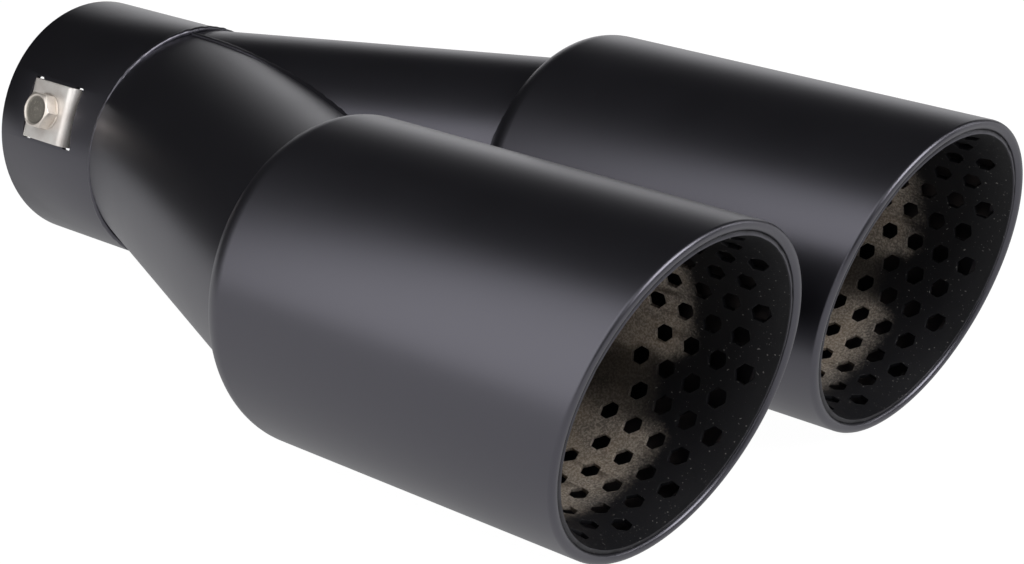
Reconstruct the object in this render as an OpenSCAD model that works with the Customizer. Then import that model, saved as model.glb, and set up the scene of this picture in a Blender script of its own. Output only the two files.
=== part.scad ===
// Dual-outlet exhaust tip: a slip-on inlet collar, a mitred Y of two straight branch pipes,
// and two slant-cut double-wall outlets with rolled lips and perforated liners.
// Origin at the centre of the inlet collar's mouth, +X towards the outlets, +Z up, +Y to the left.
// Millimetres and degrees.

/* [Inlet collar] */
// Radial step from the branch pipes up to the collar's outside
collar_step = 1; // [0.8:0.05:1.4]
// Sheet thickness of the collar
collar_wall = 1.5; // [1.2:0.1:2]
// Collar mouth to the point where the two branch axes meet
collar_length = 47.5; // [46:0.5:70]
// Radial relief of the bore round the clamp; the bore at the mouth is sized for the tailpipe
bore_relief = 0.4; // [0.4:0.05:0.6]
// Length of the relieved bore past the clamp's slots, at each end
relief_margin = 0.7; // [0.5:0.1:2]

/* [Branch pipes] */
// Radial distance from a can's side in to its branch pipe
pipe_inset = 8.95; // [8:0.05:11]
// Sheet thickness of the branch pipes
pipe_wall = 1.5; // [1.2:0.1:2]
// Angle of each branch pipe to the centre line
branch_angle = 24.3; // [22:0.1:27]

/* [Outlet cans] */
// Outer diameter of the outlet cans
can_od = 88.9; // [86:0.1:96]
// Sheet thickness of the can shells
can_wall = 1.2; // [1:0.1:1.5]
// Gap between the two cans
can_gap = 10.5; // [4:0.5:20]
// Radial clearance of the branch pipe in the rear wall
wall_clearance = 0.2; // [0.1:0.05:0.4]
// Depth of the branch pipe's end inside the can
pipe_end_depth = 4; // [3:0.1:5]
// Length of a can on its axis, rear wall to rim
can_length = 121.4; // [110:0.1:160]
// Distance from a can's rear wall to where the branch axis meets the can axis
axes_meet_depth = 2.6; // [1:0.1:4]
// Outer radius of the rounded rear shoulder
shoulder_radius = 9.5; // [7:0.1:11]
// Slant of the outlet cut from a square cut
slant_angle = 13.6; // [0:0.1:18]
// Radius of the rolled lip
lip_radius = 1.4; // [1.3:0.05:1.6]
// Rise of the rolled lip above the can's side
lip_rise = 0.03; // [0.02:0.01:0.1]
// Length of the hem that turns back inside the lip
hem_length = 6; // [4:0.5:8]

/* [Perforated liners] */
// Sheet thickness of the liners
liner_wall = 1.2; // [1:0.1:1.4]
// Depth of the flared part of the liner behind the rim
flare_depth = 62; // [55:1:75]
// Step of the liner's mouth edge behind the rim
liner_setback = 1; // [0.5:0.1:2]
// Columns of holes round a liner
hole_columns = 28; // [20:2:30]
// Holes in one column
hole_rows = 4; // [2:1:5]
// Size of a hexagonal hole across its flats
hole_af = 4.8; // [4:0.1:5.2]
// Distance between the holes of one column
hole_pitch = 8.4; // [7.6:0.1:9]
// Distance from the rim to the first row of holes
first_row = 8.2; // [5.8:0.1:9]
// Lean of a column of holes for each millimetre of depth
column_lean = 0.28; // [0:0.01:0.3]
// Turn of the hole pattern about the can axis
pattern_turn = -93.5; // [-180:0.5:180]

/* [Clamp] */
// Turn of the clamp from the top towards the right side
clamp_angle = 68; // [40:1:90]
// Distance from the clamp's nearer slot to the collar seam
clamp_margin = 6.54; // [4:0.02:8]
// Distance between the two slots of the collar
slot_pitch = 20.2; // [19:0.1:20.4]
// Width of a slot
slot_width = 2.2; // [2:0.1:2.4]
// Gap between the bridge's sides and the ends of the slots
slot_end_gap = 1.15; // [0.8:0.05:2]
// Sheet thickness of the clamp bridge
bridge_wall = 1.5; // [1.2:0.1:1.6]
// Width of the clamp bridge round the collar
bridge_width = 17.8; // [16:0.1:18]
// Clearance between the bridge's legs and the outer edges of the slots
leg_clearance = 0.1; // [0.05:0.05:0.2]
// Length of the bridge's feet past their folds
foot_length = 1.8; // [1:0.1:2]
// Play between the feet and the bore
foot_play = 0.3; // [0.2:0.05:0.5]
// Thread diameter of the clamp bolt
bolt_d = 6; // [5:0.5:6]
// Size of the bolt head and nut across the flats
hex_af = 10; // [9:0.5:10.5]
// Height of the bolt head above its washer face
head_height = 4; // [3.5:0.1:5]
// Length of the bolt's shank
bolt_length = 12; // [10:0.5:14]
// Height of the nut
nut_height = 5; // [4:0.1:5.5]
// Radial clearance of the bolt in the bridge
bolt_clearance = 0.3; // [0.2:0.05:0.5]
// Radial clearance of the bolt in the nut
thread_clearance = 0.05; // [0.03:0.01:0.1]
// Radial clearance of the nut in the collar's hole
nut_clearance = 0.5; // [0.3:0.1:1]

/* [Welds] */
// Radius of the bead round the collar seam
collar_bead = 1.1; // [0.8:0.05:1.4]
// Radius of the bead along the mitre of the branches
mitre_bead = 1.2; // [0.8:0.05:1.5]
// Radius of the bead round a can's rear wall
can_bead = 1.4; // [1.2:0.05:1.8]

/* [Hidden] */
$fn = 96;
LEFT = 1;
RIGHT = -1;

// The pipes take their size from the cans, and the collar from the pipes
pipe_r = can_od / 2 - pipe_inset;
pipe_od = 2 * pipe_r;
duct_r = pipe_r - pipe_wall;
collar_r = pipe_r + collar_step;
seat_r = collar_r - collar_wall;
bore_r = seat_r + bore_relief;
can_r = can_od / 2;
half_spacing = can_r + can_gap / 2;
half_bend = branch_angle / 2;
slope = tan(slant_angle);

// Places along X: the rear walls, the ends of the branch pipes and the centres of the rims
rear_x = collar_length + half_spacing / tan(branch_angle) - axes_meet_depth;
pipe_end_x = rear_x + pipe_end_depth;
rim_x = rear_x + can_length;

// The liner's mouth sits inside the hem, and its throat has the duct's own bore
mouth_r = can_r - 2 * lip_radius;
throat_r = duct_r + liner_wall;
flare = (mouth_r - throat_r) / flare_depth;
hole_reach = 3 * liner_wall;

// The liner's flange lies on the end of the branch pipe and reaches the inside of the shoulder
flange_play = 0.1;
flange_r = can_r - shoulder_radius - flange_play
  + sqrt(pow(shoulder_radius - can_wall, 2) - pow(shoulder_radius - pipe_end_depth, 2));

// The clamp lies behind the seam, and the sized bore at the mouth ends short of it
clamp_x = collar_length - collar_r * tan(half_bend) - clamp_margin - (slot_pitch + slot_width) / 2;
relief_length = slot_pitch + slot_width + 2 * relief_margin;
slot_span = 2 * asin((bridge_width / 2 + slot_end_gap) / collar_r);

// Clamp heights are measured outwards from the collar axis
web_z = collar_r;
head_z = web_z + bridge_wall;
foot_z = sqrt(pow(bore_r, 2) - pow(bridge_width / 2, 2)) - foot_play;

// The bridge's folds fill the slots, so that their bend starts at the slots' inner edges
leg_x = (slot_pitch + slot_width) / 2 - leg_clearance;
fold_radius = slot_width - leg_clearance;
washer_face = 0.4;
hex_corner = hex_af / cos(30);

// Larger than any piece, for the cutting blocks
reach = 2 * (rim_x + can_od);
paint = [0.09, 0.09, 0.1];
bare_steel = [0.75, 0.73, 0.7];
inner_steel = [0.34, 0.31, 0.28];

// Turns what is modelled along Z to lie along X
module along_x() {
  rotate([90, 0, 90]) children();
}

// Everything in front of an upright plane through [x, y] that is turned from square
module ahead_of(x, y = 0, turn = 0) {
  translate([x, y, 0]) rotate([0, 0, turn])
    translate([0, -reach / 2, -reach / 2]) cube(reach);
}

// One half of space, to the left or the right of the centre plane
module on_side(side) {
  translate([-reach / 2, side == LEFT ? 0 : -reach, -reach / 2]) cube(reach);
}

// Leans a shape forward as it rises, or as it goes to one side
module sheared(rise = 0, sideways = 0) {
  multmatrix([[1, sideways, rise, 0], [0, 1, 0, 0], [0, 0, 1, 0]]) children();
}

// A round bar along a branch axis, from behind the centre plane to past the bend
module branch_bar(side, r) {
  translate([collar_length, 0, 0]) rotate([0, 0, side * branch_angle])
    translate([-2 * pipe_od, 0, 0]) along_x() cylinder(r = r, h = rear_x + 3 * pipe_od);
}

// The solid form of a branch, mitred at the collar and the centre plane, square inside its can
module branch_form(side) {
  difference() {
    intersection() {
      branch_bar(side, pipe_r);
      ahead_of(collar_length, 0, side * half_bend);
      on_side(side);
    }
    ahead_of(pipe_end_x);
  }
}

// Everything in front of a plane that lies behind a rim by the given depth, slanted with it
module ahead_of_slant(depth) {
  translate([rim_x - depth, 0, 0]) rotate([0, slant_angle, 0])
    translate([0, -reach / 2, -reach / 2]) cube(reach);
}

module inlet_collar() {
  color(paint) difference() {
    along_x() cylinder(r = collar_r, h = 2 * collar_length);
    translate([-1, 0, 0]) along_x() cylinder(r = seat_r, h = 3 * collar_length);
    translate([clamp_x - relief_length / 2, 0, 0]) along_x() cylinder(r = bore_r, h = relief_length);
    ahead_of(collar_length, 0, half_bend);
    ahead_of(collar_length, 0, -half_bend);
    for (end = [-1, 1]) translate([clamp_x + end * slot_pitch / 2, 0, 0]) collar_slot();
    at_clamp() cylinder(r = hex_corner / 2 + nut_clearance, h = 2 * collar_r);
  }
}

// An arc-shaped slot through the collar's wall, centred on the clamp
module collar_slot() {
  rotate([clamp_angle, 0, 0]) rotate([-slot_span / 2, 0, 0]) along_x() rotate([0, 0, 90])
    translate([0, 0, -slot_width / 2]) rotate_extrude(angle = slot_span)
      translate([seat_r - 1, 0]) square([collar_wall + 2, slot_width]);
}

module branch_pipe(side) {
  color(paint) difference() {
    branch_form(side);
    branch_bar(side, duct_r);
  }
}

module collar_weld() {
  color(paint) difference() {
    for (side = [LEFT, RIGHT]) intersection() {
      translate([collar_length, 0, 0]) sheared(sideways = -side * tan(half_bend))
        bead_ring(collar_r - collar_bead / 2, collar_bead);
      on_side(side);
    }
    difference() {
      translate([collar_length - 4 * collar_bead - pipe_r * tan(half_bend), 0, 0])
        along_x() cylinder(r = collar_r, h = pipe_od);
      ahead_of(collar_length, 0, half_bend);
      ahead_of(collar_length, 0, -half_bend);
    }
    for (side = [LEFT, RIGHT]) branch_form(side);
  }
}

// A round weld bead that runs round the X axis
module bead_ring(ring_r, bead_r) {
  along_x() rotate_extrude() translate([ring_r, 0]) circle(r = bead_r, $fn = 48);
}

// The mitre of two equal pipes is half an ellipse in the centre plane
module mitre_weld() {
  color(paint) difference() {
    intersection() {
      translate([collar_length, 0, 0]) scale([1 / sin(branch_angle), 1, 1])
        rotate([90, 0, 0]) rotate_extrude() translate([pipe_r, 0]) circle(r = mitre_bead, $fn = 48);
      ahead_of(collar_length + 2 * collar_bead);
    }
    for (side = [LEFT, RIGHT]) branch_form(side);
  }
}

// Two bands that step down from the branch to the can's rear wall
module can_weld(side) {
  color(paint) difference() {
    for (step = [[1, 0.5], [0.5, 1]] * can_bead) intersection() {
      branch_bar(side, pipe_r + step[0]);
      can_form(side, -step[1]);
    }
    branch_bar(side, pipe_r);
    can_form(side);
    ahead_of(rear_x + shoulder_radius);
  }
}

// The solid outer form of the rear half of a can
module can_form(side, inset = 0) {
  translate([rear_x, side * half_spacing, 0]) along_x() rotate_extrude()
    can_profile(can_length / 2, inset);
}

// Half section of a can's solid form: rear wall, rounded shoulder and straight side
module can_profile(length, inset = 0) {
  r = can_r - inset;
  corner = shoulder_radius - inset;
  translate([0, inset]) square([r - corner, length - inset]);
  translate([0, shoulder_radius]) square([r, length - shoulder_radius]);
  translate([r - corner, shoulder_radius]) circle(r = corner);
}

// Half section of the rolled lip and its hem, measured from the rim plane
module lip_profile() {
  inner_r = can_r - 2 * lip_radius;
  translate([can_r - lip_radius, -lip_radius]) circle(r = lip_radius + lip_rise, $fn = 48);
  polygon([
    [inner_r, -lip_radius],
    [inner_r + lip_radius / 2, -lip_radius],
    [inner_r + lip_radius / 2 - flare * hem_length, -lip_radius - hem_length],
    [inner_r - flare * hem_length, -lip_radius - hem_length]
  ]);
}

module can(side) {
  color(paint) {
    difference() {
      translate([rear_x, side * half_spacing, 0]) along_x() rotate_extrude() difference() {
        can_profile(2 * can_length);
        can_profile(3 * can_length, can_wall);
      }
      ahead_of_slant(lip_radius);
      difference() {
        branch_bar(side, pipe_r + wall_clearance);
        ahead_of(pipe_end_x);
      }
    }
    translate([0, side * half_spacing, 0]) sheared(rise = slope)
      translate([rim_x, 0, 0]) along_x() rotate_extrude() lip_profile();
  }
}

// Half section of the flared part of a liner, measured from the rim plane
module flare_profile() {
  mouth = -liner_setback;
  throat = -flare_depth;
  outer = mouth_r - flare * liner_setback;
  polygon([[outer, mouth], [throat_r, throat], [duct_r, throat], [outer - liner_wall, mouth]]);
}

// One hexagonal prism through the liner's wall, where a hole of a column and row falls
module liner_hole(column, row) {
  depth = first_row + (row + (column % 2) / 2) * hole_pitch;
  turn = pattern_turn + column * 360 / hole_columns + column_lean * depth;
  wall_r = mouth_r - flare * depth;
  lean = atan(wall_r * column_lean * PI / 180);
  translate([rim_x - depth + slope * wall_r * sin(turn), 0, 0]) rotate([turn, 0, 0])
    translate([0, wall_r - hole_reach, 0]) rotate([-90, 0, 0]) rotate([0, 0, lean])
      cylinder(d = hole_af / cos(30), h = 2 * hole_reach, $fn = 6);
}

module liner(side) {
  color(inner_steel) translate([0, side * half_spacing, 0]) difference() {
    union() {
      sheared(rise = slope) translate([rim_x, 0, 0]) along_x() rotate_extrude() flare_profile();
      difference() {
        translate([pipe_end_x, 0, 0]) along_x() {
          cylinder(r = throat_r, h = can_length);
          cylinder(r = flange_r, h = liner_wall);
        }
        translate([rear_x, 0, 0]) along_x() cylinder(r = duct_r, h = 2 * can_length);
        ahead_of_slant(flare_depth);
      }
    }
    for (column = [0 : hole_columns - 1], row = [0 : hole_rows - 1]) liner_hole(column, row);
  }
}

// Places what is modelled on the Z axis at the clamp, with +Z pointing out of the collar
module at_clamp() {
  rotate([clamp_angle, 0, 0]) translate([clamp_x, 0, 0]) children();
}

// A quarter ring of sheet, for a fold in a section
module fold(turn) {
  rotate([0, 0, turn]) intersection() {
    difference() {
      circle(r = fold_radius);
      circle(r = fold_radius - bridge_wall);
    }
    square(fold_radius);
  }
}

// Section of the bridge across its slots: web, two folded legs and two feet turned inwards
module bridge_profile() {
  fold_x = leg_x - fold_radius;
  top_fold = head_z - fold_radius;
  low_fold = foot_z - bridge_wall + fold_radius;
  translate([-fold_x, web_z]) square([2 * fold_x, bridge_wall]);
  for (flip = [0, 1]) mirror([flip, 0]) {
    translate([fold_x, top_fold]) fold(0);
    translate([leg_x - bridge_wall, low_fold]) square([bridge_wall, top_fold - low_fold]);
    translate([fold_x, low_fold]) fold(-90);
    translate([fold_x - foot_length, foot_z - bridge_wall]) square([foot_length, bridge_wall]);
  }
}

module clamp_bridge() {
  color(bare_steel) at_clamp() difference() {
    rotate([90, 0, 0]) translate([0, 0, -bridge_width / 2])
      linear_extrude(bridge_width) bridge_profile();
    translate([0, 0, web_z - 1]) cylinder(r = bolt_d / 2 + bolt_clearance, h = bridge_wall + 2);
  }
}

module clamp_bolt() {
  top = washer_face + head_height;
  color(bare_steel) at_clamp() translate([0, 0, head_z]) {
    translate([0, 0, -bolt_length]) cylinder(d = bolt_d, h = bolt_length);
    cylinder(d = 0.98 * hex_corner, h = washer_face);
    difference() {
      intersection() {
        translate([0, 0, washer_face]) cylinder(d = hex_corner, h = head_height, $fn = 6);
        cylinder(r1 = hex_corner / 2 + top, r2 = 0.47 * hex_af, h = top);
      }
      translate([0, 0, top - 0.5]) cylinder(r1 = 0.3 * hex_af, r2 = 0.4 * hex_af, h = 1);
    }
  }
}

module clamp_nut() {
  color(bare_steel) at_clamp() translate([0, 0, web_z - nut_height]) difference() {
    cylinder(d = hex_corner, h = nut_height, $fn = 6);
    translate([0, 0, -1]) cylinder(r = bolt_d / 2 + thread_clearance, h = nut_height + 2);
  }
}

inlet_collar();
branch_pipe(LEFT);  // left_branch_pipe
branch_pipe(RIGHT);  // right_branch_pipe
collar_weld();
mitre_weld();
can_weld(LEFT);  // left_can_weld
can_weld(RIGHT);  // right_can_weld
can(LEFT);  // left_can
can(RIGHT);  // right_can
liner(LEFT);  // left_liner
liner(RIGHT);  // right_liner
clamp_bridge();
clamp_bolt();
clamp_nut();
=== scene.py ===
# %% [markdown]
# # A twin-outlet exhaust tip
# This notebook dresses the CAD model of a slip-on exhaust tip. The real one is made of thin stainless
# sheet: a round collar, two pipes that fork from it, and two wide outlets with rolled lips and punched
# liners. Everything outside is sprayed satin black, and only the clamp stays bare. The frame holds the
# exact solids, in metres, and every piece below is drawn in that same frame.

# %% Load the frame
import math

import bpy
from mathutils import Matrix, Vector


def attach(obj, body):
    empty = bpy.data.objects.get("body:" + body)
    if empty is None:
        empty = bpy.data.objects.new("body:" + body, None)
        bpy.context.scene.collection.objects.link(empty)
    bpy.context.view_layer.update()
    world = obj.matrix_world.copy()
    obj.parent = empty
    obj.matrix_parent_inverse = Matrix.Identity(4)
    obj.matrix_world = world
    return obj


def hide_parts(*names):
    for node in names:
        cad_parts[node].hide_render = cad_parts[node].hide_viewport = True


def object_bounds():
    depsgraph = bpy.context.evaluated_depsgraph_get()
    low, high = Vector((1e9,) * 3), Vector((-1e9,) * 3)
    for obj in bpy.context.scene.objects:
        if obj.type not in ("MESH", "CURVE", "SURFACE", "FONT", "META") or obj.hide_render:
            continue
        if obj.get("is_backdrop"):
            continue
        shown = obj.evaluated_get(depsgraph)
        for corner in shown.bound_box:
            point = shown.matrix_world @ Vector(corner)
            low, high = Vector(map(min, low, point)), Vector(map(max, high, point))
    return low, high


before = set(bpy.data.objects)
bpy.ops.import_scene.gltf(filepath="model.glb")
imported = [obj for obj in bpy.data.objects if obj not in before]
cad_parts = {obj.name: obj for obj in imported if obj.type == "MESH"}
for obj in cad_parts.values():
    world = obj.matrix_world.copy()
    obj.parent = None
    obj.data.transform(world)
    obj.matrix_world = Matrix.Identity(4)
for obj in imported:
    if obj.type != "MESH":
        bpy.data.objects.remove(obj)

CAD_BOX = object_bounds()
print("solids:", sorted(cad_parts))

# %% [markdown]
# ## The sizes of the part
# The same sizes shape the solids, so the pieces here land on them. A few places differ, and the text says
# so there. Sizes are in millimetres, as on a drawing, and MM turns them into Blender's metres.

# %% Sizes
MM = 0.001
LEFT = 1
RIGHT = -1

COLLAR_R = 36.5
COLLAR_WALL = 1.5
COLLAR_LENGTH = 47.5
PIPE_R = 35.5
PIPE_WALL = 1.5
BRANCH_ANGLE = math.radians(24.3)

CAN_R = 44.45
CAN_WALL = 1.2
CAN_LENGTH = 121.4
HALF_SPACING = 49.7
SHOULDER = 9.5
LIP_R = 1.4
REAR_BACK = 2.6
PIPE_REACH = 4.0
REAR_X = COLLAR_LENGTH + HALF_SPACING / math.tan(BRANCH_ANGLE) - REAR_BACK
PIPE_END_X = REAR_X + PIPE_REACH
RIM_X = REAR_X + CAN_LENGTH
SLOPE = math.tan(math.radians(13.6))

LINER_WALL = 1.2
FLARE_DEPTH = 62.0
LINER_SETBACK = 1.0
MOUTH_R = CAN_R - 2 * LIP_R
THROAT_R = PIPE_R - PIPE_WALL
FLARE = (MOUTH_R - LINER_WALL - THROAT_R) / FLARE_DEPTH
print("outlets from", round(REAR_X, 1), "to", round(RIM_X, 1), "mm along X")

# %% [markdown]
# ## The camera
# The camera comes first, so that every later choice can be judged in its picture. It looks down at the
# outlets from the right-hand front, with a long lens, as the photograph does.

# %% Camera
LENS = 88.57
SENSOR_WIDTH = 36
ROLL = math.radians(-0.575)


def facing(place, towards):
    """The place and turn of a camera or a light that looks at a point."""
    turn = (towards - place).to_track_quat("-Z", "Y").to_matrix().to_4x4()
    return Matrix.Translation(place) @ turn


camera_data = bpy.data.cameras.new("camera")
camera_data.lens = LENS
camera_data.sensor_width = SENSOR_WIDTH
camera_data.clip_start = 0.01
camera = bpy.data.objects.new("camera", camera_data)
bpy.context.scene.collection.objects.link(camera)
eye = Vector((610.1, -471.9, 236.7)) * MM
aim = Vector((150.0, 29.85, -26.81)) * MM
camera.matrix_world = facing(eye, aim) @ Matrix.Rotation(ROLL, 4, "Z")
bpy.context.scene.camera = camera
print("camera to aim:", round((aim - eye).length, 3), "m")

# %% [markdown]
# ## Helpers for modelling
# Each operator acts on whatever is selected, so a piece always starts from a clean selection. These
# helpers select, name, copy, cut and finish a piece. Lengths are given in millimetres and turned into
# metres here.

# %% Helpers for any piece
def clear():
    """Leaves edit mode and deselects everything."""
    if bpy.context.mode != "OBJECT":
        bpy.ops.object.mode_set(mode="OBJECT")
    bpy.ops.object.select_all(action="DESELECT")


def take(*objects):
    """Selects these objects alone, the last of them active."""
    clear()
    for o in objects:
        o.select_set(True)
        bpy.context.view_layer.objects.active = o


def remove(*objects):
    """Deletes these objects."""
    take(*objects)
    bpy.ops.object.delete()


def edit_all(o):
    """Opens a piece in edit mode with everything selected."""
    take(o)
    bpy.ops.object.mode_set(mode="EDIT")
    bpy.ops.mesh.select_all(action="SELECT")


def named(o, name):
    """Names a piece and its mesh."""
    o.name = name
    o.data.name = name
    return o


def settle(o):
    """Moves an object's place, turn and scale into its mesh."""
    take(o)
    bpy.ops.object.transform_apply(location=True, rotation=True, scale=True)
    return o


def copy_of(o, name):
    """A copy of a piece with a mesh of its own."""
    take(o)
    bpy.ops.object.duplicate(linked=False)
    return named(bpy.context.object, name)


def apply_modifier(o, kind, **settings):
    """Adds a modifier with these settings and applies it."""
    take(o)
    modifier = o.modifiers.new(kind.lower(), kind)
    for key, value in settings.items():
        setattr(modifier, key, value)
    bpy.ops.object.modifier_apply(modifier=modifier.name)
    return o


def soften(o, width, segments, degrees):
    """Rounds the edges that are sharper than an angle with a fine bevel."""
    return apply_modifier(o, "BEVEL", width=width * MM, segments=segments, limit_method="ANGLE",
                          angle_limit=math.radians(degrees))


def cut(o, tool, operation="DIFFERENCE"):
    """Cuts a piece with a tool, and takes the tool away."""
    apply_modifier(o, "BOOLEAN", object=tool, operation=operation, solver="EXACT")
    remove(tool)
    return o


def smooth(o, degrees=35):
    """Smooth shading that keeps the edges sharper than an angle."""
    take(o)
    bpy.ops.object.shade_smooth_by_angle(angle=math.radians(degrees))
    return o


def at_side(o, side):
    """Moves a piece from the centre line to the axis of one outlet."""
    o.location = (0, side * HALF_SPACING * MM, 0)
    return settle(o)


def pick(o, test):
    """Selects the points of a piece that pass a test of their place in millimetres, in edit mode."""
    take(o)
    bpy.ops.object.mode_set(mode="EDIT")
    bpy.ops.mesh.select_mode(type="VERT")
    bpy.ops.mesh.select_all(action="DESELECT")
    bpy.ops.object.mode_set(mode="OBJECT")
    for vertex in o.data.vertices:
        vertex.select = test(*(vertex.co / MM))
    bpy.ops.object.mode_set(mode="EDIT")


def slide(o, place):
    """Gives every point of a piece a new place, in millimetres, by a function of its old one."""
    for vertex in o.data.vertices:
        vertex.co = Vector(place(*(vertex.co / MM))) * MM
    return o


# %% [markdown]
# A turned piece is drawn as a potter would: one ring of points is pulled out through a list of stations
# round the X axis. A station is a place along X and a radius there.

# %% Helpers for turned pieces
def ring(x, radius, points=96, fill="NOTHING"):
    """A ring of points round the X axis, all selected in edit mode."""
    clear()
    bpy.ops.mesh.primitive_circle_add(vertices=points, radius=radius * MM, location=(x * MM, 0, 0),
                                      rotation=(0, math.pi / 2, 0), fill_type=fill)
    o = settle(bpy.context.object)
    bpy.ops.object.mode_set(mode="EDIT")
    bpy.ops.mesh.select_all(action="SELECT")
    return o


def pull(stations):
    """Pulls the selected ring through stations of x and radius, the first being where it is."""
    x, radius = stations[0]
    for next_x, next_radius in stations[1:]:
        bpy.ops.mesh.extrude_region_move(TRANSFORM_OT_translate={"value": ((next_x - x) * MM, 0, 0)})
        grow = next_radius / radius
        bpy.ops.transform.resize(value=(1, grow, grow), center_override=(next_x * MM, 0, 0))
        x, radius = next_x, next_radius


def turned(name, stations, points=96):
    """A closed turned piece, whose last station meets its first."""
    o = ring(*stations[0], points)
    pull(stations + stations[:1])
    bpy.ops.mesh.select_all(action="SELECT")
    bpy.ops.mesh.remove_doubles(threshold=1e-6)
    bpy.ops.mesh.normals_make_consistent(inside=False)
    clear()
    return named(o, name)


def turned_solid(name, stations, points=96):
    """A solid turned piece with flat ends."""
    o = ring(*stations[0], points, "NGON")
    pull(stations)
    bpy.ops.mesh.select_all(action="SELECT")
    bpy.ops.mesh.normals_make_consistent(inside=False)
    clear()
    return named(o, name)


def arc(x, radius, size, start, end, steps):
    """Stations on a circular arc. Angle 0 points to +X and 90 degrees points outwards."""
    angles = [math.radians(start + (end - start) * i / steps) for i in range(steps + 1)]
    return [(x + size * math.cos(a), radius + size * math.sin(a)) for a in angles]


# %% [markdown]
# ## The inlet collar
# The collar is a short tube, and the branches are welded to its front. On the real part that seam runs
# back a little towards both sides and leans forward at the top, so it lies on two planes that meet in the
# middle. The front ring of points is slid along X onto those planes. The solid's seam is a plainer one, a
# few millimetres away, and collar and branches only trade material there.

# %% Inlet collar
SEAM_X = 45.4
SEAM_V = 0.092
SEAM_TILT = 0.081
MOUTH_EDGE = 0.3


def seam_x(y, z):
    """The place along X of the joint between the collar and the branches."""
    return SEAM_X - SEAM_V * abs(y) + SEAM_TILT * z


def seam_front(x, y, z):
    """Slides the collar's front ring onto the seam's two planes."""
    return (seam_x(y, z) if x > COLLAR_LENGTH - 1 else x, y, z)


collar_in = COLLAR_R - COLLAR_WALL
collar = turned("collar_tube", [
    (0, COLLAR_R - MOUTH_EDGE), (MOUTH_EDGE / 3, COLLAR_R - MOUTH_EDGE / 3), (MOUTH_EDGE, COLLAR_R),
    (COLLAR_LENGTH, COLLAR_R), (COLLAR_LENGTH, collar_in),
    (MOUTH_EDGE, collar_in), (0, collar_in + MOUTH_EDGE),
], points=128)
slide(collar, seam_front)
print("seam at the top and at a side:", round(seam_x(0, COLLAR_R), 1), round(seam_x(COLLAR_R, 0), 1), "mm")

# %% [markdown]
# The clamp works through two slots across the collar, which are wider here than in the solid. They are
# cut with two long blocks, and the nut below the plate gets a round hole. All of them are set out on the
# Z axis first, and turned to the clamp's place.

# %% Slots in the collar
CLAMP_ANGLE = math.radians(68)
CLAMP_X = 21.9
SLOT_OUTER = 11.2
SLOT_WIDTH = 3.7
SLOT_HALF = 9.5
SLOT_CORNER = 0.7
NUT_HOLE_R = 6.27
TOOL_LENGTH = 12


def to_clamp(o):
    """Turns a piece that is modelled on the Z axis to the clamp's place on the collar."""
    o.rotation_euler = (CLAMP_ANGLE, 0, 0)
    o.location = (CLAMP_X * MM, 0, 0)
    return settle(o)


def block(x, y, z, size_x, size_y, size_z):
    """A block with its middle at a point, in millimetres."""
    clear()
    bpy.ops.mesh.primitive_cube_add(size=MM, location=(x * MM, y * MM, z * MM),
                                    scale=(size_x, size_y, size_z))
    return settle(bpy.context.object)


def rod(radius, z, points=48):
    """A round bar on the Z axis, with its middle at a height, in millimetres."""
    clear()
    bpy.ops.mesh.primitive_cylinder_add(vertices=points, radius=radius * MM, depth=TOOL_LENGTH * MM,
                                        location=(0, 0, z * MM))
    return settle(bpy.context.object)


for end in (-1, 1):
    slot = block(end * (SLOT_OUTER - SLOT_WIDTH / 2), 0, COLLAR_R, SLOT_WIDTH, 2 * SLOT_HALF, TOOL_LENGTH)
    cut(collar, to_clamp(soften(slot, SLOT_CORNER, 3, 30)))
cut(collar, to_clamp(rod(NUT_HOLE_R, COLLAR_R)))
smooth(collar, 30)
print("collar faces:", len(collar.data.polygons))

# %% [markdown]
# ## The branch pipes
# Each branch is a plain tube that leaves the collar at an angle. A tube is a set of straight lines side
# by side, so each line is simply cut where it meets the collar's seam, or the other branch, and inside
# the outlet.

# %% Branch pipes
def branch_end(side, y):
    """How far along a branch one line of its wall runs, to end in the upright plane inside the outlet."""
    return (PIPE_END_X - COLLAR_LENGTH + side * y * math.sin(BRANCH_ANGLE)) / math.cos(BRANCH_ANGLE)


def to_branch(o, side):
    """Turns a piece that is modelled on the X axis to its place on a branch."""
    o.rotation_euler = (0, 0, side * BRANCH_ANGLE)
    o.location = (COLLAR_LENGTH * MM, 0, 0)
    return settle(o)


def draft_pipe(radius, fill="NGON"):
    """A pipe on the X axis whose two end rings still have to be slid to their places."""
    clear()
    bpy.ops.mesh.primitive_cylinder_add(vertices=192, radius=radius * MM, depth=100 * MM,
                                        end_fill_type=fill, rotation=(0, math.pi / 2, 0))
    return settle(bpy.context.object)


def branch(name, side):
    """A pipe from the collar's seam to the inside of one outlet."""
    along = math.cos(BRANCH_ANGLE)
    across = math.sin(BRANCH_ANGLE)

    def cut_to_length(x, y, z):
        out = side * y
        gap = SEAM_X - COLLAR_LENGTH + out * (across - SEAM_V * along) + SEAM_TILT * z
        at_seam = gap / (along + SEAM_V * across)
        at_middle = -out * along / across
        return (max(at_seam, at_middle) if x < 0 else branch_end(side, y), y, z)

    o = to_branch(slide(draft_pipe(PIPE_R, "NOTHING"), cut_to_length), side)
    apply_modifier(o, "SOLIDIFY", thickness=PIPE_WALL * MM, offset=-1)
    return smooth(named(o, name), 30)


branches = {side: branch(name, side) for side, name in ((LEFT, "branch_left"), (RIGHT, "branch_right"))}
print("faces of each branch:", len(branches[LEFT].data.polygons))

# %% [markdown]
# ## The outlets
# An outlet is one turned shell: a flat rear wall, a rounded shoulder, a straight side, and a front edge
# that rolls over and turns back inside as a hem. Its whole section is drawn as one closed line of
# stations, so the sheet has a thickness from the start. Then the front is leaned forward, by sliding each
# point along X by its height: a lean keeps the side straight and round, where a slanted cut through a
# finished lip would spoil the roll.

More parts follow.
